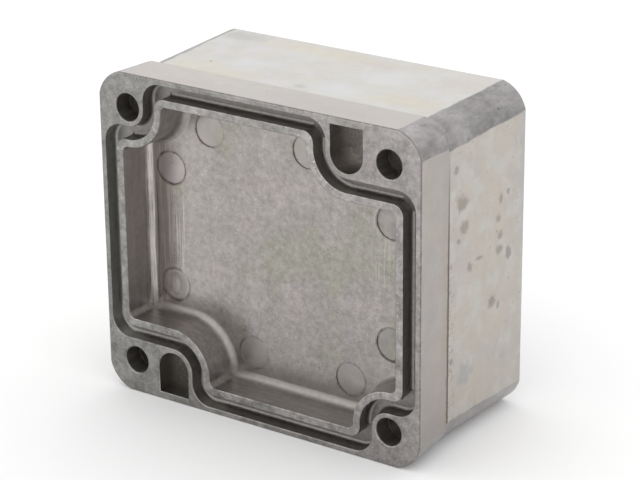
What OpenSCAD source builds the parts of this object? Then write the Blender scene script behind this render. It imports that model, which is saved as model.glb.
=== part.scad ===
// Small die cast aluminium box: its lid, inside face forward, standing in front
// of its base. Both stand on a long side. +Z is up, -Y is the side one looks at.

/* [Lid] */
// Width of the lid
box_w = 64; // [50:1:100]
// Height of the lid as it stands
box_h = 58; // [45:1:100]
// Depth of the lid from its sealing face to its outer face
lid_d = 9; // [7:0.1:14]
// Thickness left under the lid's cavity
lid_floor = 2.2; // [1.5:0.1:4]
// How much each side draws in from the sealing face to the outer face
lid_draft = 0.3; // [0:0.05:0.6]
// Radius of the as cast corner at the sealing face
corner_r = 6; // [5:0.1:8]
// How much that radius shrinks towards the outer face
corner_draft = 0.4; // [0:0.05:0.45]
// Depth of metal ground off the flats, which leaves a crease at each corner
linish = 0.18; // [0.1:0.02:0.4]
// Bevel round the lid's outer face
lid_bevel = 0.4; // [0.2:0.1:1]

/* [Seal] */
// Width of the outer rim outside the gasket groove
rim_w = 1; // [0.8:0.1:3]
// Width of the gasket groove
groove_w = 2.35; // [1.5:0.05:4]
// Depth of the gasket groove
groove_d = 2.7; // [1:0.1:4]
// Width of the inner rim between the groove and the cavity
inner_rim_w = 1.35; // [1:0.05:4]
// Corner radius of the groove's outer edge
groove_r_out = 3.4; // [2.5:0.1:5]
// Corner radius of the groove's inner edge
groove_r_in = 2; // [1:0.1:3]
// Corner radius of the cavity
cavity_r = 1.2; // [0.8:0.1:1.3]
// Wall between a mounting pocket and the groove
pocket_wall = 0.9; // [0.7:0.1:3]
// Wall between a screw hole and the groove
hole_wall = 0.9; // [0.7:0.1:3]
// Radius of the fillet where a cavity's wall meets its floor
fillet_r = 1.4; // [0.5:0.1:2]

/* [Screws] */
// Distance of a lid screw from the lid's two nearest sides
screw_in = 6; // [5:0.5:10]
// Clearance hole for a lid screw
screw_hole_d = 4.8; // [4.2:0.1:6]
// Depth of that hole before the head recess
screw_hole_l = 4; // [2:0.5:6]
// Diameter of the recess for the screw's head
head_d = 8; // [7:0.5:10]
// Core hole for the lid screw's thread in the base
core_d = 3.3; // [2.5:0.1:5]
// Depth of that core hole
core_l = 14; // [8:1:20]

/* [Mounting] */
// Distance of a mounting screw from the lid's nearest upright side
mount_in = 14; // [12:1:20]
// Width of a mounting pocket
pocket_w = 6.2; // [5:0.1:8]
// Distance from the mounting screw to the flat end of its pocket
pocket_flat = 4.7; // [4:0.1:6]
// Depth of the pocket in the lid
lid_pocket_d = 5.5; // [3:0.1:6]
// Through hole for a mounting screw
mount_hole_d = 4.4; // [3.5:0.1:5.5]

/* [Ejector marks] */
// Diameter of an ejector pin
pin_d = 5.8; // [3:0.1:8]
// Depth of the mark an ejector pin leaves
pin_mark = 0.2; // [0.1:0.05:0.5]
// Distance of a mark's middle from the nearest wall of the cavity
mark_edge = 5.1; // [4:0.1:8]
// Height of one side mark above the middle
mark_z_hi = 10.3; // [5:0.1:12]
// Height of the other side mark below the middle
mark_z_lo = 11; // [5:0.1:12]
// Distance of the outer end mark from the middle of the width
mark_x_far = 14.1; // [8:0.1:15]
// Distance of the inner end mark from the middle of the width
mark_x_near = 5.8; // [3:0.1:6]

/* [Base] */
// Depth of the base from its bottom to its rim
base_d = 23.5; // [20:0.1:60]
// How much each side draws in from the rim to the bottom
base_draft = 0.6; // [0:0.05:1]
// Thickness of the base's bottom
base_floor = 2.5; // [1.5:0.1:5]
// How much the radius of its as cast corners shrinks towards the bottom
base_corner_draft = 0.72; // [0:0.02:0.75]
// Bevel round the base's bottom
base_bevel = 0.5; // [0.2:0.1:1]
// How far the base's tongue stands out of its rim
tongue_h = 1.5; // [0.5:0.1:2.5]

/* [Clearances] */
// How far the lid's rim stands out past the base's on each side
rim_step = 0.25; // [0:0.05:1]
// Room on each side of the tongue in the lid's groove
tongue_gap = 0.25; // [0.1:0.05:0.6]

/* [Hidden] */
$fn = 48;
// how far cutters and fillets run into what they cut or join
over = 1;
sink = 0.4;
total_d = lid_d + base_d + tongue_h;
y_front = -total_d / 2;
y_seam = y_front + lid_d;
base_w = box_w - 2 * rim_step;
base_h = box_h - 2 * rim_step;
lid_cx = box_w / 2 - screw_in;
lid_cz = box_h / 2 - screw_in;
pin_x = box_w / 2 - mount_in;
// the mounting screws are level with the lid screws
pin_z = lid_cz;
// the seal's outer edge, from which every other edge is inset
seal_x = box_w / 2 - rim_w;
seal_z = box_h / 2 - rim_w;
in_rim = groove_w;
in_cavity = groove_w + inner_rim_w;
pocket_r = pocket_w / 2;
// radius of the seal's outer edge round a pocket and round a screw hole
turn_pocket = pocket_r + pocket_wall;
turn_screw = screw_hole_d / 2 + hole_wall;
lid_cavity_d = lid_d - lid_floor;
base_cx = base_w / 2 + linish - corner_r;
base_cz = base_h / 2 + linish - corner_r;
corner_cx = box_w / 2 + linish - corner_r;
corner_cz = box_h / 2 + linish - corner_r;
// the cavity's half sizes, and how far the marks lie from its middle
cavity_x = seal_x - in_cavity;
cavity_z = seal_z - in_cavity;
mark_x = cavity_x - mark_edge;
mark_row = cavity_z - mark_edge;
far = 200;

node_lid_z = box_h / 2;
node_base_z = base_h / 2;

// a drawing in X and Z, drawn out from depth y0 to depth y1
module along(y0, y1) {
  translate([0, y1, 0]) rotate([90, 0, 0])
    linear_extrude(height = y1 - y0) children();
}

// a drawing in X and Y, drawn out up and down
module upright() {
  translate([0, 0, -far]) linear_extrude(height = 2 * far) children();
}

// one corner outside the seal: the round the seal makes about (cx, cz), and the
// round corners of the seal on either side of it
module corner_cut(inset, rv, cx, cz, turn) {
  r = turn + inset;
  tx = seal_x - inset;
  tz = seal_z - inset;
  translate([cx - r, cz]) square([far, far]);
  translate([cx, cz - r]) square([far, far]);
  translate([cx, cz]) circle(r);
  difference() {
    translate([cx - r - rv, tz - rv]) square([rv + over, rv + over]);
    translate([cx - r - rv, tz - rv]) circle(rv);
  }
  difference() {
    translate([tx - rv, cz - r - rv]) square([rv + over, rv + over]);
    translate([tx - rv, cz - r - rv]) circle(rv);
  }
}

// the area inside the seal, inset from its outer edge, its corners rounded by rv
module seal_area(inset, rv) {
  difference() {
    square([2 * (seal_x - inset), 2 * (seal_z - inset)], center = true);
    for (a = [0, 180]) rotate(a) {
      corner_cut(inset, rv, pin_x, pin_z, turn_pocket);
      mirror([1, 0]) corner_cut(inset, rv, lid_cx, lid_cz, turn_screw);
    }
  }
}

// a mounting pocket: round towards the cavity, flat towards the outside
module pocket_shape() {
  for (a = [0, 180]) rotate(a) translate([pin_x, pin_z]) {
    circle(pocket_r);
    translate([-pocket_r, 0]) square([pocket_w, pocket_flat]);
  }
}

module four_screws() {
  for (sx = [-1, 1], sz = [-1, 1]) translate([sx * lid_cx, 0, sz * lid_cz]) children();
}

// a round bar along Y from depth y0 to depth y1
module bar(r, y0, y1) {
  translate([0, y0, 0]) rotate([-90, 0, 0]) cylinder(r = r, h = y1 - y0);
}

// a round bar that tapers from r0 at depth y0 to r1 at depth y1
module taper(r0, r1, y0, y1) {
  translate([0, y0, 0]) rotate([-90, 0, 0]) cylinder(r1 = r0, r2 = r1, h = y1 - y0);
}

// the outline of a drafted side: half width w0 at depth 0 and w1 at depth d, with
// a bevel of size c where it is w0
module side_outline(w0, w1, d, c) {
  k = (w1 - w0) * c / d;
  polygon([[c - w0, 0], [w0 - c, 0], [w0 + k, c], [w1, d], [-w1, d], [-w0 - k, c]]);
}

// a drafted casting, bevelled round its closed face at depth 0: four flats ground
// to half sizes (x0, z0) there and (x1, z1) at depth d, and four corners left as
// cast about (cx, cz), their radius growing from r0 to r1
module casting(x0, z0, x1, z1, d, c, cx, cz, r0, r1) {
  intersection() {
    upright() side_outline(x0, x1, d, c);
    rotate([0, 90, 0]) upright() side_outline(z0, z1, d, c);
    union() {
      along(-over, d + over) square([2 * cx, far], center = true);
      along(-over, d + over) square([far, 2 * cz], center = true);
      for (sx = [-1, 1], sz = [-1, 1]) translate([sx * cx, 0, sz * cz]) {
        taper(r0 - c, r0, 0, c);
        taper(r0, r1, c, d);
      }
    }
  }
}

// section of the fillet between the cavity's wall (at 0 across) and its floor
// (at 0 up)
module fillet_section() {
  difference() {
    translate([-sink, -sink]) square([fillet_r + sink, fillet_r + sink]);
    translate([fillet_r, fillet_r]) circle(fillet_r);
  }
}

// fillet along a straight wall: it starts at (x, z) and runs l at the angle a,
// with the cavity on its left
module fillet_run(x, z, a, l) {
  translate([x, 0, z]) rotate([0, -a, 0]) rotate([180, -90, 0])
    linear_extrude(height = l) fillet_section();
}

// fillet round a boss that stands into the cavity, a quarter turn from the angle a
module fillet_boss(x, z, r, a) {
  translate([x, 0, z]) rotate([90, 0, 0]) rotate([0, 0, a]) rotate_extrude(angle = 90)
    translate([r, 0]) fillet_section();
}

// fillets all round the foot of a cavity's wall; where two straight walls meet
// in a corner, their fillets run on into the corner and mitre
module floor_fillets() {
  ra = turn_pocket + in_cavity;
  rb = turn_screw + in_cavity;
  for (t = [0, 180]) rotate([0, t, 0]) {
    fillet_run(cavity_x, rb - lid_cz, 90, pin_z - ra + lid_cz - rb);
    fillet_run(cavity_x, pin_z - ra, 180, cavity_x - pin_x);
    fillet_boss(pin_x, pin_z, ra, 180);
    fillet_run(pin_x - ra, pin_z, 90, cavity_z - pin_z);
    fillet_run(pin_x - ra, cavity_z, 180, pin_x - ra + lid_cx - rb);
    fillet_run(rb - lid_cx, cavity_z, 270, cavity_z - lid_cz);
    fillet_boss(-lid_cx, lid_cz, rb, 270);
    fillet_run(-lid_cx, lid_cz - rb, 180, cavity_x - lid_cx);
  }
}

// the marks of the ejector pins on the cavity's floor, alike half a turn apart
module pin_marks() {
  for (t = [0, 180]) rotate([0, t, 0]) {
    for (p = [[mark_x, mark_z_hi], [mark_x, -mark_z_lo], [-mark_x_far, mark_row], [mark_x_near, mark_row]])
      translate([p[0], 0, p[1]]) bar(pin_d / 2, lid_cavity_d - over, lid_cavity_d + pin_mark);
  }
}

module lid() {
  color([0.74, 0.73, 0.71]) translate([0, y_front, node_lid_z]) {
    difference() {
      translate([0, lid_d, 0]) mirror([0, 1, 0])
        casting(box_w / 2 - lid_draft, box_h / 2 - lid_draft, box_w / 2, box_h / 2, lid_d,
          lid_bevel, corner_cx, corner_cz, corner_r - corner_draft, corner_r);
      along(-over, groove_d) difference() {
        seal_area(0, groove_r_out);
        seal_area(in_rim, groove_r_in);
      }
      along(-over, lid_cavity_d) seal_area(in_cavity, cavity_r);
      along(-over, lid_pocket_d) pocket_shape();
      four_screws() {
        bar(screw_hole_d / 2, -over, lid_d);
        bar(head_d / 2, screw_hole_l, lid_d + over);
      }
      pin_marks();
    }
    translate([0, lid_cavity_d, 0]) floor_fillets();
  }
}

module base() {
  color([0.76, 0.74, 0.71]) translate([0, y_seam, node_base_z]) {
    difference() {
      casting(base_w / 2 - base_draft, base_h / 2 - base_draft, base_w / 2, base_h / 2, base_d,
        base_bevel, base_cx, base_cz, corner_r - base_corner_draft, corner_r);
      along(base_floor, base_d + over) seal_area(in_cavity, cavity_r);
      along(base_floor, base_d + over) pocket_shape();
      for (a = [0, 180]) rotate([0, a, 0]) translate([pin_x, 0, pin_z])
        bar(mount_hole_d / 2, -over, base_floor + over);
      four_screws() bar(core_d / 2, base_d - core_l, base_d + over);
    }
    translate([0, base_floor, 0]) mirror([0, 1, 0]) floor_fillets();
    along(base_d - sink, base_d + tongue_h) difference() {
      seal_area(tongue_gap, groove_r_out - tongue_gap);
      seal_area(in_rim - tongue_gap, groove_r_in + tongue_gap);
    }
  }
}

lid();
base();
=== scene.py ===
import math

import bmesh
import bpy
from mathutils import Matrix, Vector


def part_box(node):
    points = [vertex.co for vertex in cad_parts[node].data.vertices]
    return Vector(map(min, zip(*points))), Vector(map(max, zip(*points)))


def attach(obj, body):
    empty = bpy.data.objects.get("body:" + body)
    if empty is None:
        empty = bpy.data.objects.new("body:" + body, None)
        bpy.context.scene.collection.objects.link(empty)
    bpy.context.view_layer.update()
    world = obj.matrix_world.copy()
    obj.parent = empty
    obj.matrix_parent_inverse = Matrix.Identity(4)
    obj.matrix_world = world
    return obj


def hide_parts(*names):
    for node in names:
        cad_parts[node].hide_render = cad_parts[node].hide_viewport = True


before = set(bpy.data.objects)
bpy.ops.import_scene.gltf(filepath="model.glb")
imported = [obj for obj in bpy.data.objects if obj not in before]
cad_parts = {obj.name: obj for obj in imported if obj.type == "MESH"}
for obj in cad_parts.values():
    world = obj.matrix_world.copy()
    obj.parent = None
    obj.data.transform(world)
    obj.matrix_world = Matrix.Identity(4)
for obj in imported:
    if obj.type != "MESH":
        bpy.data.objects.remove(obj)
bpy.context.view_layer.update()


# ---------------------------------------------------------------------------
# The lid: one die casting in aluminium, stood up with its inside to the front.
# Its four flats are ground bright on a belt, and all the rest is the skin that
# the die left, so each kind of surface has a finish of its own.

MM = 0.001

lid_low, lid_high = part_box("lid")
lid_middle = (lid_low.z + lid_high.z) / 2
lid_front = lid_low.y / MM


class Wire:
    """One output of a finish's nodes. Arithmetic on it adds Math nodes."""

    def __init__(self, finish, socket):
        self.finish = finish
        self.socket = socket

    def math(self, operation, *others):
        return self.finish.node("ShaderNodeMath", {"operation": operation}, (self, *others))

    def __add__(self, other):
        return self.math("ADD", other)

    def __sub__(self, other):
        return self.math("SUBTRACT", other)

    def __mul__(self, other):
        return self.math("MULTIPLY", other)

    def __rsub__(self, other):
        return self.finish.node("ShaderNodeMath", {"operation": "SUBTRACT"}, (other, self))

    __radd__ = __add__
    __rmul__ = __mul__


class Finish:
    """A metal finish. Its lengths are millimetres in the box's own frame, with
    up counted from the middle of the piece's height."""

    def __init__(self, name, middle):
        self.material = bpy.data.materials.new(name)
        self.material.use_nodes = True
        self.tree = self.material.node_tree
        self.shader = self.tree.nodes["Principled BSDF"]
        metres = self.node("ShaderNodeTexCoord", {}, {}, "Object")
        self.place = self.node("ShaderNodeMapping", {}, {
            "Vector": metres, "Scale": (1 / MM, 1 / MM, 1 / MM), "Location": (0, 0, -middle / MM)})
        apart = self.node("ShaderNodeSeparateXYZ", {}, {0: self.place}).socket.node
        self.x, self.y, self.up = [Wire(self, output) for output in apart.outputs]

    def node(self, kind, settings, sockets, out=0):
        """A new node of this kind, its settings made before its sockets are joined."""
        made = self.tree.nodes.new(kind)
        for key, value in settings.items():
            setattr(made, key, value)
        if isinstance(sockets, tuple):
            sockets = dict(enumerate(sockets))
        for key, value in sockets.items():
            self.join(made.inputs[key], value)
        return Wire(self, made.outputs[out])

    def join(self, socket, value):
        """Gives a socket a wire, a colour or a number."""
        if isinstance(value, Wire):
            self.tree.links.new(value.socket, socket)
        elif socket.type == "RGBA":
            socket.default_value = (*value, 1)
        else:
            socket.default_value = value

    def noise(self, per_mm, detail=2, stretch=(1, 1, 1), shift=0):
        """Grain, per_mm grains to the millimetre, about 0.3 to 0.7."""
        where = self.node("ShaderNodeMapping", {}, {
            "Vector": self.place, "Scale": stretch, "Location": (shift, shift, shift)})
        return self.node("ShaderNodeTexNoise", {}, {
            "Vector": where, "Scale": per_mm, "Detail": detail})

    def step(self, value, low, high):
        """0 where value is under low, rising softly to 1 where it is over high."""
        return self.node("ShaderNodeMapRange", {"interpolation_type": "SMOOTHSTEP"},
                         (value, low, high, 0, 1))

    def near(self, value, middle, width):
        """1 where value is at the middle, falling softly to 0 at half the width away."""
        return 1 - self.step((value - middle).math("ABSOLUTE"), 0, width / 2)

    def away(self, a, b, at_a, at_b):
        """How far the place (a, b) lies from (at_a, at_b)."""
        return ((a - at_a).math("POWER", 2) + (b - at_b).math("POWER", 2)).math("SQRT")

    def mix(self, mask, first, second):
        """The first colour where mask is 0, and the second where it is 1."""
        return self.node("ShaderNodeMix", {"data_type": "RGBA"}, {0: mask, 6: first, 7: second}, 2)

    def shade(self, colour, factor):
        """The colour made lighter or darker by a factor."""
        grey = self.node("ShaderNodeCombineXYZ", {}, (factor, factor, factor))
        return self.node("ShaderNodeVectorMath", {"operation": "MULTIPLY"}, (colour, grey))

    def done(self, colour, roughness, height, depth):
        """The finished metal. Height 1 stands depth millimetres above height 0."""
        relief = self.node("ShaderNodeBump", {}, {"Height": height, "Distance": depth * MM})
        self.join(self.shader.inputs["Base Color"], colour)
        self.join(self.shader.inputs["Roughness"], roughness)
        self.join(self.shader.inputs["Metallic"], 1.0)
        self.join(self.shader.inputs["Normal"], relief)
        return self.material


def as_cast(name, grey, warm, rough, grain=0.5, glint=0.4, size=1.0, along=(1, 1, 1),
            lighter=0.0, below=0.0, flow=0.0, joint=0.0, joint_light=0.0):
    """The skin the die leaves: grey, mottled, with bright grains and dark pits.
    Grain is how strong the mottle is, glint how bright the grains are, and size and
    along how large it is and how it is stretched. Lighter is painted light: how much
    the skin gains with each millimetre across and up, so that it is lighter towards the
    upper right, and it also moves the warm patches to the right. Below is a painted
    reflection: how much the skin gains on its under side. Flow is how bright the thin
    lines are that the metal left as it ran. Joint is how far back a line lies along
    the joint, and joint_light how much lighter it is."""
    f = Finish(name, lid_middle)
    patches = f.step(f.noise(0.14, 3, shift=3) + f.x * (lighter * 2), 0.4, 0.65)
    clouds = f.noise(0.3 / size, 3, along, 17)
    blotches = f.noise(0.9 / size, 3, along, 7)
    grains = f.noise(2.2 / size, 2, along, 13)
    glints = f.step(f.noise(2.6, 2, along, 29), 0.64, 0.72)
    pits = 1 - f.step(f.noise(1.7 / size, 2, along, 37), 0.25, 0.33)
    # (x + up) * lighter is painted light: the skin gets lighter towards the upper right
    tone = ((clouds - 0.5) * grain + (blotches - 0.5) * grain + (grains - 0.5) * (grain * 0.5)
            + (f.x + f.up) * lighter + glints * glint - pits * (grain * 0.5) + 1)
    if flow:
        lines = f.near(f.noise(0.35, 2, along, 43), 0.5, 0.03)
        tone = tone + lines * f.step(f.noise(0.4, 2, along, 47), 0.5, 0.6) * flow
    # below is a painted reflection: the under side is made lighter
    if below:
        tone = tone + (1 - f.step(f.up, -20, -10)) * below
    if joint_light:
        tone = tone + f.near(f.y, joint, 0.6) * joint_light
    colour = f.shade(f.mix(patches, grey, warm), tone)
    return f.done(colour, blotches * 0.2 + (rough - 0.1), blotches * 0.6 + grains * 0.4, 0.02)


def drawn(name, grey, rough, along, streaks=0.7, fine=1.8, glint=0.0, inner=None, lit_left_side=None):
    """A face that slid out of the die, dragged along one direction. Streaks is how
    strong the drag lines are, and fine how many there are to the millimetre. Inner is
    another colour it takes further in, and the depths between which it changes, and
    the last argument is its colour by the lid's left edge, a lighter one: painted light."""
    f = Finish(name, lid_middle)
    drags = f.noise(fine, 3, stretch=along, shift=5)
    blotches = f.noise(0.9, 3, shift=7)
    glints = f.step(f.noise(3.0, 2, shift=29), 0.62, 0.7)
    tone = (drags - 0.5) * streaks + (blotches - 0.5) * 0.4 + glints * glint + 1
    colour = f.mix(f.step(drags, 0.4, 0.6), grey, [c * 1.08 for c in grey])
    # painted light: by the lid's left edge the colour is made lighter
    if lit_left_side:
        colour = f.mix(f.step(f.x, -28.4, -26.4), lit_left_side, colour)
    if inner:
        other, start, end = inner
        colour = f.mix(f.step(f.y - lid_front, start, end), colour, other)
    return f.done(f.shade(colour, tone), drags * 0.1 + (rough - 0.05), drags, 0.01)


def screw_hole():
    """A clearance hole: dark, with a painted highlight where the screw head's recess starts: the
    light that the burr there catches.
    """
    f = Finish("lid screw holes", lid_middle)
    dark, bright, far_edge = (0.42, 0.395, 0.37), (0.95, 0.92, 0.88), lid_front + 3.8
    drags = f.noise(1.8, 2, stretch=(1, 0.1, 1), shift=5)
    # the bright ring at the far edge is a painted highlight
    colour = f.mix(f.near(f.y, far_edge, 0.5), dark, bright)
    return f.done(f.shade(colour, (drags - 0.5) * 0.7 + 1), drags * 0.1 + 0.36, drags, 0.01)


def lid_floor():
    """The floor of the lid: drag lines at its two ends, and the pins' marks."""
    f = Finish("lid floor", lid_middle)
    grey, green, pink = (0.345, 0.322, 0.303), (0.33, 0.318, 0.28), (0.375, 0.345, 0.335)
    brown, tan, pale = (0.295, 0.268, 0.242), (0.365, 0.333, 0.30), (0.42, 0.385, 0.375)
    clouds = f.noise(0.3, 3, shift=17)
    blotches = f.noise(0.9, 3, shift=7)
    grains = f.noise(2.4, 3, shift=13)
    glints = f.step(f.noise(2.6, 2, shift=29), 0.62, 0.70)
    pits = 1 - f.step(f.noise(2.0, 3, shift=37), 0.30, 0.40)
    colour = f.mix(f.step(f.noise(0.25, 3, shift=19), 0.4, 0.65), grey, pink)
    colour = f.mix(f.step(f.noise(0.09, 3, shift=3), 0.45, 0.62), colour, green)
    # by the left and lower walls the skin is smooth and browner, except on the upper mark
    upper_mark = 1 - f.step(f.away(f.x, f.up, -22.2, 11.0), 2.6, 2.9)
    left = (1 - f.step(f.x + (blotches - 0.5) * 0.4, -22.5, -22.2)) * (1 - upper_mark)
    below = 1 - f.step(f.up + (clouds - 0.5) * 5, -22.0, -19.0)
    walls = (left + below * 0.6).math("MINIMUM", 1)
    colour = f.mix(walls * 0.7, colour, brown)
    colour = f.mix(left * 0.8, colour, tan)
    # drag lines run up and down near the two ends
    lines = f.noise(2.2, 3, stretch=(1, 1, 0.03), shift=5)
    ends = (f.near(f.x, -21.0, 3.2) * f.near(f.up, 0, 34) * 2.2
            + f.near(f.x, 20.4, 5.5) * f.near(f.up, 3, 26) + left * 0.6)
    # a pin's mark: across, up, how dark its ring is, how light its disc is, how hollow it is
    marks = ((-22.4, 11.0, 0.6, 1.0, 0.0), (-22.2, -10.3, 0.4, 0.3, 4.0),
             (22.2, 10.3, 0.3, -0.5, 0.5), (22.2, -11.0, 0.5, -0.4, 0.5),
             (-14.1, 19.2, 0.25, 0.2, 0.0), (5.8, 19.2, 0.15, 0.1, 0.0),
             (14.1, -19.2, 0.3, 0.1, 0.6), (-5.8, -19.2, 0.25, 0.1, 0.6))
    uneven = (f.noise(0.9, 2, shift=41) - 0.5) * 0.6
    # a patchy mask that makes the rings' painted shade uneven
    patchy = f.step(f.noise(0.5, 2, shift=71), 0.36, 0.56) * 0.7 + 0.3
    mark_tone_and_shade, relief, bare = 0, 0, 1
    for across, up, dark, light, hollow in marks:
        reach = f.away(f.x, f.up, across, up)
        disc = 1 - f.step(reach, 2.6, 2.9)
        # each ring is the mark's edge line, darkened with painted shade all round it
        mark_tone_and_shade = f.near(reach + uneven * 0.4, 2.95, 0.8) * (dark * 1.2) + mark_tone_and_shade
        relief = relief - (1 - f.step(reach, 0.6, 2.6)) * hollow
        bare = bare - disc * 0.8
        if light > 0:
            colour = f.mix(disc * light, colour, pale)
        else:
            # a darker disc of its own colour, with a painted highlight just outside its edge
            mark_tone_and_shade = mark_tone_and_shade - disc * (0.4 * light) - f.near(reach, 3.3, 0.4) * 0.2
        if hollow > 1:
            # this one has a small oval dish near its middle, shown with painted light and shade: a
            # lighter middle, a dark ring round it and a lighter band inside the mark's edge
            dish = f.away((f.x + 22.3) * 1.3, f.up * 0.8, 0, -8.2)
            mark_tone_and_shade = (mark_tone_and_shade - (1 - f.step(dish, 0.6, 1.3)) * 0.3 + f.near(dish, 1.5, 0.5) * 0.25
                     - f.near(reach, 2.4, 0.5) * 0.2)
    ridges = f.step(lines, 0.45, 0.6) * ends * bare
    foot = f.near(f.x, -25.65, 0.4) * f.near(f.up, 1, 40)
    rough_skin = (1 - walls * 0.9) * bare
    flow = (f.near(f.noise(0.4, 3, shift=43), 0.5, 0.02)
            * f.step(f.noise(0.3, 2, shift=47), 0.5, 0.6))
    mottle = ((blotches - 0.5) * 0.65 + (grains - 0.5) * 0.3 + glints * 0.3 - pits * 0.15
              + flow * 0.12)
    # the marks' rings and dishes carry painted shade and highlights, along with the discs' own
    # tones
    tone = ((clouds - 0.5) * 0.35 + f.near(f.x, -18.5, 14) * 0.1 + mottle * rough_skin
            + (lines - 0.5) * left * 0.6 + ridges * 0.28 - foot * 0.4 - mark_tone_and_shade * patchy + 1)
    height = (blotches * 0.5 + grains * 0.2) * rough_skin + ridges * 0.9 + relief
    return f.done(f.shade(colour, tone), clouds * 0.1 + 0.24, height, 0.015)


class Flat(Finish):
    """A flat ground on a belt: cream, with clouds of pink and white and with faint lines.
    Out is the way, x or up, to the as cast corners on both sides of it, whose colour is
    skin. They start at the crease, which is that far from the middle and slants with
    the draft."""

    def __init__(self, name, middle, cream, pink, white, skin, out, crease, slant, lines_along):
        super().__init__(name, middle)
        self.blotches = self.noise(0.7, 3, shift=23)
        self.lines = self.noise(2.5, 2, stretch=lines_along, shift=3)
        wavy = (self.noise(0.25, 3, shift=53) - 0.5) * 1.2 - self.y * slant
        corner = self.step(getattr(self, out).math("ABSOLUTE") + wavy, crease - 0.4, crease + 0.05)
        colour = self.mix(self.step(self.noise(0.11, 4, shift=11), 0.42, 0.58), cream, pink)
        colour = self.mix(self.step(self.noise(0.25, 4, shift=5), 0.46, 0.64), colour, white)
        self.colour = self.mix(corner, colour, skin)

    def spot(self, a, b, at_a, at_b, wide, tall, soft):
        """1 on an uneven spot at (at_a, at_b) along the ways a and b, of this width and
        height, fading out over soft of its size."""
        u = (getattr(self, a) - at_a).math("DIVIDE", wide / 2)
        v = (getattr(self, b) - at_b).math("DIVIDE", tall / 2)
        reach = self.away(u, v, 0, 0) + (self.blotches - 0.5) * 2
        return 1 - self.step(reach, 1 - soft, 1 + soft)

    def stain(self, mask, colour):
        """Lays a colour over the flat where the mask is 1."""
        self.colour = self.mix(mask, self.colour, colour)

    def ground(self, rough):
        """Ends the finish with what the belt leaves: light clouds and a few scratches."""
        clouds = self.noise(0.35, 3, shift=67)
        scratches = (self.near(self.noise(0.16, 1, (1, 0.4, 0.4), 59), 0.5, 0.008)
                     * self.step(self.noise(0.3, 2, shift=73), 0.53, 0.6))
        tone = ((self.blotches - 0.5) * 0.16 + (clouds - 0.5) * 0.14 + (self.lines - 0.5) * 0.05
                - scratches * 0.12 + 1)
        return self.done(self.shade(self.colour, tone), self.blotches * 0.2 + (rough - 0.1),
                         self.lines * 0.3 + self.blotches * 0.7, 0.006)


# The colour of the lid's corners where they run into its flats
lid_corner_grey = (0.25, 0.24, 0.242)


def lid_level_flats():
    """The lid's top and bottom: the top has a pink cloud and a yellow one."""
    f = Flat("lid level flats", lid_middle, cream=(0.405, 0.38, 0.355), pink=(0.41, 0.375, 0.355),
             white=(0.39, 0.37, 0.36), skin=lid_corner_grey,
             out="x", crease=27.64, slant=0, lines_along=(1, 1, 1))
    pink, yellow = (0.385, 0.355, 0.335), (0.43, 0.405, 0.36)
    above = f.step(f.up, 0, 1)
    f.stain(f.spot("x", "y", 16, -13, 26, 10, 0.6) * above * 0.7, pink)
    f.stain(f.spot("x", "y", -14, -10, 20, 5, 0.6) * above * 0.6, yellow)
    return f.ground(rough=0.36)


def lid_upright_flats():
    """The lid's two sides: the right one is bluer at the front and browner at the back and
    below, and its back edge is darkened along the joint."""
    f = Flat("lid upright flats", lid_middle, cream=(0.39, 0.36, 0.325), pink=(0.385, 0.35, 0.325),
             white=(0.395, 0.37, 0.35), skin=lid_corner_grey,
             out="up", crease=24.64, slant=0, lines_along=(1, 1, 0.1))
    grey, mauve, blue = (0.365, 0.362, 0.36), (0.355, 0.343, 0.35), (0.34, 0.335, 0.345)
    brown, tan, joint_dark = (0.36, 0.325, 0.285), (0.365, 0.325, 0.295), (0.17, 0.13, 0.10)
    right = f.step(f.x, 0, 1)
    f.stain(f.spot("y", "up", -10, 19, 4, 10, 0.8) * right * 0.6, grey)
    f.stain(f.spot("y", "up", -14, -12, 5, 40, 0.8) * right * 0.5, mauve)
    f.stain(f.spot("y", "up", -13, -22, 6, 6, 0.6) * right * 0.6, blue)
    f.stain(f.step(f.y + (f.blotches - 0.5) * 2, -10.8, -9.2) * right * 0.5, brown)
    f.stain((1 - f.step(f.up, -24, 8)) * right * 0.5, tan)
    # a dark line along the joint
    joint = f.step(f.y + (f.blotches - 0.5) * 1.2, -8.75, -8.5) * f.step(0 - f.up, -18, 2)
    f.stain(joint * right * 0.5, joint_dark)
    return f.ground(rough=0.36)


def copy_of(node, name):
    """A copy of a packed casting, its triangles joined and its flat faces whole."""
    same_place, same_plane, crease = 1e-6, math.radians(0.3), math.radians(12)
    bpy.ops.object.select_all(action="DESELECT")
    piece = bpy.data.objects.new(name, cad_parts[node].data.copy())
    bpy.context.collection.objects.link(piece)
    bpy.context.view_layer.objects.active = piece
    piece.select_set(True)
    piece.data.materials.clear()
    bpy.ops.mesh.customdata_custom_splitnormals_clear()
    bpy.ops.object.mode_set(mode="EDIT")
    bpy.ops.mesh.select_mode(type="EDGE")
    bpy.ops.mesh.select_all(action="SELECT")
    bpy.ops.mesh.remove_doubles(threshold=same_place)
    bpy.ops.mesh.mark_sharp(clear=True)
    bpy.ops.mesh.dissolve_limited(angle_limit=same_plane)
    bpy.ops.mesh.select_all(action="DESELECT")
    bpy.ops.mesh.edges_select_sharp(sharpness=crease)
    bpy.ops.mesh.mark_sharp()
    bpy.ops.object.mode_set(mode="OBJECT")
    return piece


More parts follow.
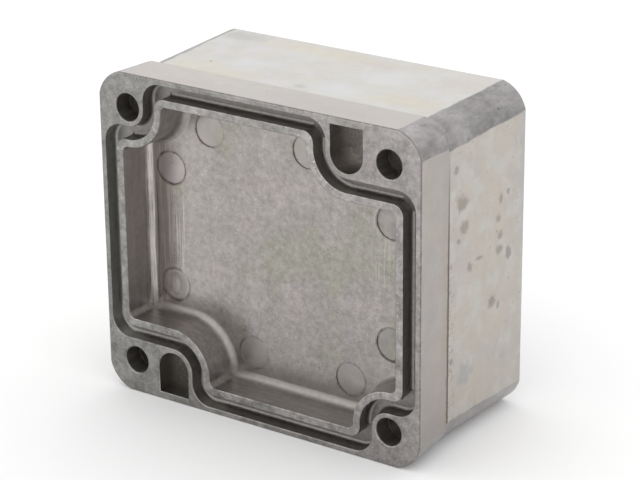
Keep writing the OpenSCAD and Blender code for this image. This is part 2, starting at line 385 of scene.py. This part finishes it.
def soften(piece, radius, segments, belongs):
    """Rounds the sharp edges whose ends both belong, as a casting's edges are."""
    sliver, crease = 2e-6, math.radians(30)
    bpy.ops.object.mode_set(mode="EDIT")
    bpy.ops.mesh.select_all(action="DESELECT")
    mesh = bmesh.from_edit_mesh(piece.data)
    for edge in mesh.edges:
        sharp = not edge.smooth and len(edge.link_faces) == 2
        edge.select = (sharp and edge.calc_face_angle(0) > crease
                       and all(belongs(corner.co) for corner in edge.verts))
    bmesh.update_edit_mesh(piece.data)
    bpy.ops.mesh.bevel(offset=radius, segments=segments, clamp_overlap=False, loop_slide=True)
    bpy.ops.mesh.select_all(action="SELECT")
    bpy.ops.mesh.dissolve_degenerate(threshold=sliver)
    bpy.ops.object.mode_set(mode="OBJECT")


def dress(piece, finishes, surface):
    """Smooth sides, flats kept flat, and each face in the finish of its surface,
    which is told by the face's first corner, its middle and its normal."""
    bpy.ops.object.shade_smooth(keep_sharp_edges=True)
    weighted = piece.modifiers.new("flats stay flat", "WEIGHTED_NORMAL")
    weighted.keep_sharp = True
    bpy.ops.object.modifier_apply(modifier=weighted.name)
    names = list(finishes)
    for name in names:
        piece.data.materials.append(finishes[name])
    for face in piece.data.polygons:
        first = piece.data.vertices[face.vertices[0]].co
        face.material_index = names.index(surface(first, face.center, face.normal))


# How far across and up the screws and the pockets are from the lid's middle
screw_across, pocket_across, screw_up = 26, 18, 23


def on_lid(point):
    """Across and up from the middle of the lid, and back from its front, in millimetres."""
    return point.x / MM, (point.z - lid_middle) / MM, (point.y - lid_low.y) / MM


def inside_seal(x, up, inset):
    """Whether a place on the lid lies inside the seal's outer edge, moved in by inset.
    The seal turns round a pocket at two corners and round a screw at the other two."""
    half_wide, half_tall, round_pocket, round_screw = 31, 28, 4.0, 3.3
    if abs(x) > half_wide - inset or abs(up) > half_tall - inset:
        return False
    for turn in (1, -1):
        for side, middle, radius in ((1, pocket_across, round_pocket + inset),
                                     (-1, screw_across, round_screw + inset)):
            u = side * turn * x - middle
            v = turn * up - screw_up
            if (u > -radius and v > 0) or (u > 0 and v > -radius) or math.hypot(u, v) < radius:
                return False
    return True


def outside_lid(x, up):
    """Whether a place lies on the lid's outer sides or its four round corners."""
    half_wide, half_tall = 31.3, 28.3
    corner_across, corner_up, corner_radius = 26.18, 23.18, 5.3
    u, v = abs(x) - corner_across, abs(up) - corner_up
    past_corner = u > 0 and v > 0 and math.hypot(u, v) > corner_radius
    return abs(x) > half_wide or abs(up) > half_tall or past_corner


def in_screw_hole(x, up):
    """Whether a place lies in a screw hole or on its wall."""
    return math.hypot(abs(x) - screw_across, abs(up) - screw_up) < 2.6


def in_front(depth):
    """Whether a depth is that of the lid's front."""
    return depth < 0.05


def lid_outline(point):
    x, up, depth = on_lid(point)
    return in_front(depth) and outside_lid(x, up)


def hole_mouth(point):
    x, up, depth = on_lid(point)
    return in_front(depth) and in_screw_hole(x, up)


def groove_bottom(point):
    """The groove is 2.7 mm deep and 2.35 wide."""
    x, up, depth = on_lid(point)
    return 2.6 < depth < 2.8 and inside_seal(x, up, -0.1) and not inside_seal(x, up, 2.5)


def other_front_edge(point):
    return in_front(on_lid(point)[2]) and not (lid_outline(point) or hole_mouth(point))


def outer_side(n):
    """The surface of a casting's outer side: a flat or a round corner."""
    if max(abs(n.x), abs(n.z)) < 0.985:
        return "corners"
    return "upright flats" if abs(n.x) > abs(n.z) else "level flats"


def lid_surface(first, middle, n):
    """The surface a face of the lid is part of. Where n.y is near -1 the face looks to the
    front, and where it is near 0 the face goes straight back."""
    x, up, _ = on_lid(first)
    depth = on_lid(middle)[2]
    softened, pocket_depth, floor_depth, back = 0.31, 5.6, 6.7, 8.5
    groove, mid_groove, cavity = -0.1, 1.5, 3.5
    fillet_across = 23.5
    if outside_lid(x, up) and depth > softened and abs(n.y) < 0.6:
        return outer_side(n)
    if depth < softened and n.y < -0.2:
        if outside_lid(x, up) and n.y > -0.9:
            return "edges"
        return "inner rim" if inside_seal(x, up, mid_groove) else "rim"
    if depth > back and n.y > 0.2:
        return "corners"
    if inside_seal(x, up, cavity):
        if abs(n.y) < 0.15:
            return "upright walls" if abs(n.x) > 0.9 else "walls"
        if n.y < -0.98 and depth > floor_depth:
            return "floor"
        upright = abs(x) > fillet_across and abs(n.x) > abs(n.z)
        return "upright fillets" if upright else "level fillets"
    if inside_seal(x, up, groove):
        return "groove" if abs(n.y) < 0.5 else "groove floor"
    if in_screw_hole(x, up) or depth > pocket_depth:
        return "screw holes"
    return "pocket walls" if abs(n.y) < 0.5 else "pocket floor"


lid = copy_of("lid", "lid_casting")
soften(lid, 0.3 * MM, segments=3, belongs=lid_outline)
soften(lid, 0.3 * MM, segments=3, belongs=hole_mouth)
soften(lid, 0.6 * MM, segments=4, belongs=groove_bottom)
soften(lid, 0.13 * MM, segments=2, belongs=other_front_edge)

wall_grey, even = (0.30, 0.282, 0.277), (1, 1, 1)
dress(lid, {
    # the rim and the inner rim get painted light, lighter towards the upper right
    "rim": as_cast("lid rim", grey=(0.27, 0.265, 0.252), warm=(0.298, 0.278, 0.27),
                   rough=0.36, grain=1.0, glint=0.5, lighter=0.0022),
    "inner rim": as_cast("lid inner rim", grey=(0.29, 0.282, 0.27), warm=(0.32, 0.302, 0.292),
                         rough=0.36, grain=1.2, glint=0.9, lighter=0.0025),
    "edges": as_cast("lid front edges", grey=(0.20, 0.19, 0.18), warm=(0.22, 0.205, 0.195),
                     rough=0.4, grain=0.9, glint=0.8),
    "walls": drawn("lid walls", wall_grey, rough=0.42, along=(0.1, 1, 1), streaks=0.35),
    "upright walls": drawn("lid upright walls", (0.33, 0.31, 0.306), rough=0.42,
                           along=(1, 1, 0.06), streaks=0.3, fine=1.0),
    "floor": lid_floor(),
    "upright fillets": drawn("lid upright fillets", (0.38, 0.355, 0.335), rough=0.28,
                             along=(1, 1, 0.03), streaks=1.8, fine=5),
    "level fillets": drawn("lid level fillets", wall_grey, rough=0.42, along=even, streaks=0.3,
                           fine=1.2, glint=0.12, inner=((0.305, 0.287, 0.266), 5.4, 6.3)),
    # the groove's walls and floor are painted lighter by the lid's left edge: painted light
    "groove": drawn("lid groove walls", (0.29, 0.275, 0.262), rough=0.35, along=even,
                    streaks=0.3, lit_left_side=(0.37, 0.365, 0.345)),
    "groove floor": drawn("lid groove floor", (0.23, 0.217, 0.206), rough=0.4, along=even,
                          streaks=0.3, lit_left_side=(0.30, 0.295, 0.28)),
    "screw holes": screw_hole(),
    "pocket walls": drawn("lid pocket walls", (0.22, 0.205, 0.19), rough=0.4, along=even,
                          streaks=0.4, inner=((0.40, 0.38, 0.36), 2.5, 5.2)),
    "pocket floor": drawn("lid pocket floor", (0.34, 0.32, 0.30), rough=0.4, along=even,
                          streaks=0.6, glint=0.5),
    # the corners' under sides are made lighter by below, a painted reflection
    "corners": as_cast("lid corners", grey=(0.244, 0.234, 0.232), warm=(0.264, 0.253, 0.249),
                       rough=0.36, grain=0.9, glint=0.25, size=1.3, along=(1, 0.5, 1),
                       below=0.35, flow=0.15, joint=lid_high.y / MM, joint_light=-0.3),
    "level flats": lid_level_flats(),
    "upright flats": lid_upright_flats(),
}, lid_surface)
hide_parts("lid")
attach(lid, "root")


# ---------------------------------------------------------------------------
# The base: the deep half of the box, also one casting, with its closed bottom
# against the lid's back and its rim to the rear. Its flats are ground brighter
# than the lid's, and the right one has dark pits and stains.

base_low, base_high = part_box("base")
base_middle = (base_low.z + base_high.z) / 2

# The colour of the base's corners where they run into its flats
base_corner_grey = (0.245, 0.236, 0.24)


def base_level_flats():
    """The top and bottom: the top is clouded cream, pink and white, with a rust speck, and the
    white spots set on it are painted highlights.
    """
    f = Flat("base level flats", base_middle, cream=(0.475, 0.46, 0.425), pink=(0.47, 0.45, 0.428),
             white=(0.48, 0.474, 0.465), skin=base_corner_grey,
             out="x", crease=26.94, slant=0.03, lines_along=(0.1, 1, 1))
    above = f.step(f.up, 0, 1)
    yellow, white, pink = (0.49, 0.455, 0.375), (0.50, 0.505, 0.51), (0.46, 0.42, 0.40)
    grey, rust = (0.37, 0.36, 0.36), (0.36, 0.24, 0.12)
    # across and back from the lid's front, and the size of each cloud
    # the white spots in this list are painted highlights
    for across, depth, wide, deep, colour in (
            (-17, 10, 13, 9, yellow), (-4, 29, 26, 4, yellow), (10, 23, 8, 6, white),
            (-14, 18, 7, 5, white), (8, 14, 8, 5, white), (6, 28, 7, 4, pink), (23, 27, 7, 6, pink),
            (20, 15, 10, 5, yellow), (-23, 29.5, 8, 4, grey), (0.5, 12.5, 2, 1.2, grey)):
        f.stain(f.spot("x", "y", across, lid_front + depth, wide, deep, 0.8) * above * 0.75, colour)
    f.stain(f.spot("x", "y", -20, lid_front + 15.5, 0.7, 0.6, 0.3) * above, rust)
    return f.ground(rough=0.36)


def base_upright_flats():
    """The two sides: the right one has pits and brown stains, and a dark line along the joint."""
    f = Flat("base upright flats", base_middle, cream=(0.465, 0.43, 0.385),
             pink=(0.455, 0.42, 0.395), white=(0.485, 0.465, 0.435), skin=base_corner_grey,
             out="up", crease=23.94, slant=0.03, lines_along=(1, 0.1, 1))
    pit, tan, joint_dark = (0.25, 0.22, 0.19), (0.44, 0.40, 0.36), (0.10, 0.08, 0.065)
    brown, dark = (0.30, 0.268, 0.235), (0.26, 0.238, 0.22)
    blue, pale = (0.36, 0.358, 0.358), (0.43, 0.422, 0.415)
    right = f.step(f.x, 0, 1)
    pits = 1 - f.step(f.noise(1.7, 2, shift=61), 0.26, 0.33)
    f.stain(pits * right * 0.7, pit)
    f.stain((1 - f.step(f.up, -28, 0)) * right * 0.2, tan)
    # back from the lid's front and up, and the size of each stain
    for depth, up, wide, tall, colour in (
            (13.3, 13.7, 3.2, 2.6, brown), (14.3, 9.3, 2.5, 2.0, brown),
            (25.2, 11.0, 1.2, 1.4, brown), (27.4, 11.6, 0.8, 0.9, brown),
            (24.6, 7.8, 1.5, 1.7, brown), (25.0, 4.5, 1.5, 1.7, brown),
            (24.8, 2.2, 1.7, 1.8, brown), (27.9, 0.8, 1.7, 2.4, dark),
            (16.0, 1.9, 1.4, 1.5, brown), (10.3, 3.7, 0.8, 1.0, brown),
            (18.8, 2.6, 2.0, 0.7, brown), (22.8, -6.4, 2.2, 1.9, dark),
            (24.9, -7.8, 0.9, 1.1, brown), (10.8, -13.1, 0.9, 1.0, dark),
            (11.7, 19.8, 1.2, 1.2, brown), (12.5, 7.4, 0.9, 0.9, brown),
            (14.5, -16.5, 4.5, 4.0, blue), (32.0, 14.0, 2.6, 24.0, pale)):
        f.stain(f.spot("y", "up", lid_front + depth, up, wide, tall, 0.45) * right * 0.8, colour)
    # the joint is darkened, and brown specks lie for a few millimetres behind it
    behind_joint = 1 - f.step(f.y, lid_front + 10.2, lid_front + 12.5)
    specks = f.step(f.noise(1.5, 2, shift=83), 0.5, 0.6) * behind_joint
    f.stain(specks * f.step(0 - f.up, -8, 2) * right * 0.6, brown)
    joint = 1 - f.step(f.y, lid_front + 9.82, lid_front + 10.0)
    f.stain(joint * f.step(0 - f.up, -30, -6) * right * 0.9, joint_dark)
    return f.ground(rough=0.38)


def base_rim(point):
    """Whether a corner lies in the base's last 2 mm, where its rim and tongue are."""
    return point.y > base_high.y - 2 * MM


def base_surface(first, middle, n):
    """The surface a face of the base is part of. The draft is less than 0.8 mm a side."""
    draft, corner, corner_radius = 0.8 * MM, 5.8 * MM, 4.6 * MM
    # how far past the base's sides, and past its top and bottom: 0 on them, less inside
    x = abs(first.x) - base_high.x
    up = abs(first.z - base_middle) - base_middle
    past_corner = (x > -corner and up > -corner
                   and math.hypot(x + corner, up + corner) > corner_radius)
    outside = x > -draft or up > -draft or past_corner
    return outer_side(n) if outside and abs(n.y) <= 0.5 else "skin"


base = copy_of("base", "base_casting")
soften(base, 0.18 * MM, segments=2, belongs=base_rim)
dress(base, {
    "skin": as_cast("base skin", grey=(0.33, 0.32, 0.31), warm=(0.36, 0.34, 0.33), rough=0.33),
    # the corners' under sides are made lighter by below, a painted reflection
    "corners": as_cast("base corners", grey=(0.236, 0.226, 0.225), warm=(0.256, 0.245, 0.242),
                       rough=0.36, grain=0.85, glint=0.25, size=1.3, along=(1, 0.5, 1),
                       below=0.6, flow=0.2, joint=lid_front + 10.2, joint_light=0.15),
    "level flats": base_level_flats(),
    "upright flats": base_upright_flats(),
}, base_surface)
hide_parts("base")
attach(base, "root")


# ---------------------------------------------------------------------------
# The studio: a plain pale table in a soft white tent, brightest from above, and
# the camera to the right of the front, a little above.

bpy.ops.object.select_all(action="DESELECT")
bpy.ops.mesh.primitive_plane_add(size=6, location=(0, 0, 0))
table = bpy.context.object
table.name = "table"
paper = bpy.data.materials.new("table paper")
paper.use_nodes = True
matt = paper.node_tree.nodes["Principled BSDF"].inputs
matt["Base Color"].default_value = (0.79, 0.79, 0.79, 1)
matt["Roughness"].default_value = 0.9
table.data.materials.append(paper)

tent = bpy.data.worlds.new("white tent")
tent.use_nodes = True
cloth = tent.node_tree.nodes
direction = cloth.new("ShaderNodeTexCoord")
height = cloth.new("ShaderNodeSeparateXYZ")
glow = cloth.new("ShaderNodeValToRGB")
side, top = glow.color_ramp.elements
side.color = (1.0, 1.0, 1.0, 1)
top.position = 0.3
top.color = (1.4, 1.4, 1.4, 1)
tent.node_tree.links.new(direction.outputs["Generated"], height.inputs[0])
tent.node_tree.links.new(height.outputs["Z"], glow.inputs[0])
tent.node_tree.links.new(glow.outputs[0], cloth["Background"].inputs["Color"])
bpy.context.scene.world = tent

azimuth, elevation, roll = math.radians(34.80), math.radians(21.35), math.radians(-0.55)
distance = 0.40924
aim = Vector((0.00109, 0, 0.02858))
back = Vector((math.sin(azimuth) * math.cos(elevation), -math.cos(azimuth) * math.cos(elevation),
               math.sin(elevation)))
camera = bpy.data.objects.new("camera", bpy.data.cameras.new("camera"))
bpy.context.collection.objects.link(camera)
camera.data.sensor_width = 36
camera.data.lens = 135.8
camera.location = aim + distance * back
turn = back.to_track_quat("Z", "Y").to_matrix() @ Matrix.Rotation(roll, 3, "Z")
camera.rotation_euler = turn.to_euler()
bpy.context.scene.camera = camera
bpy.context.scene.view_settings.view_transform = "Standard"
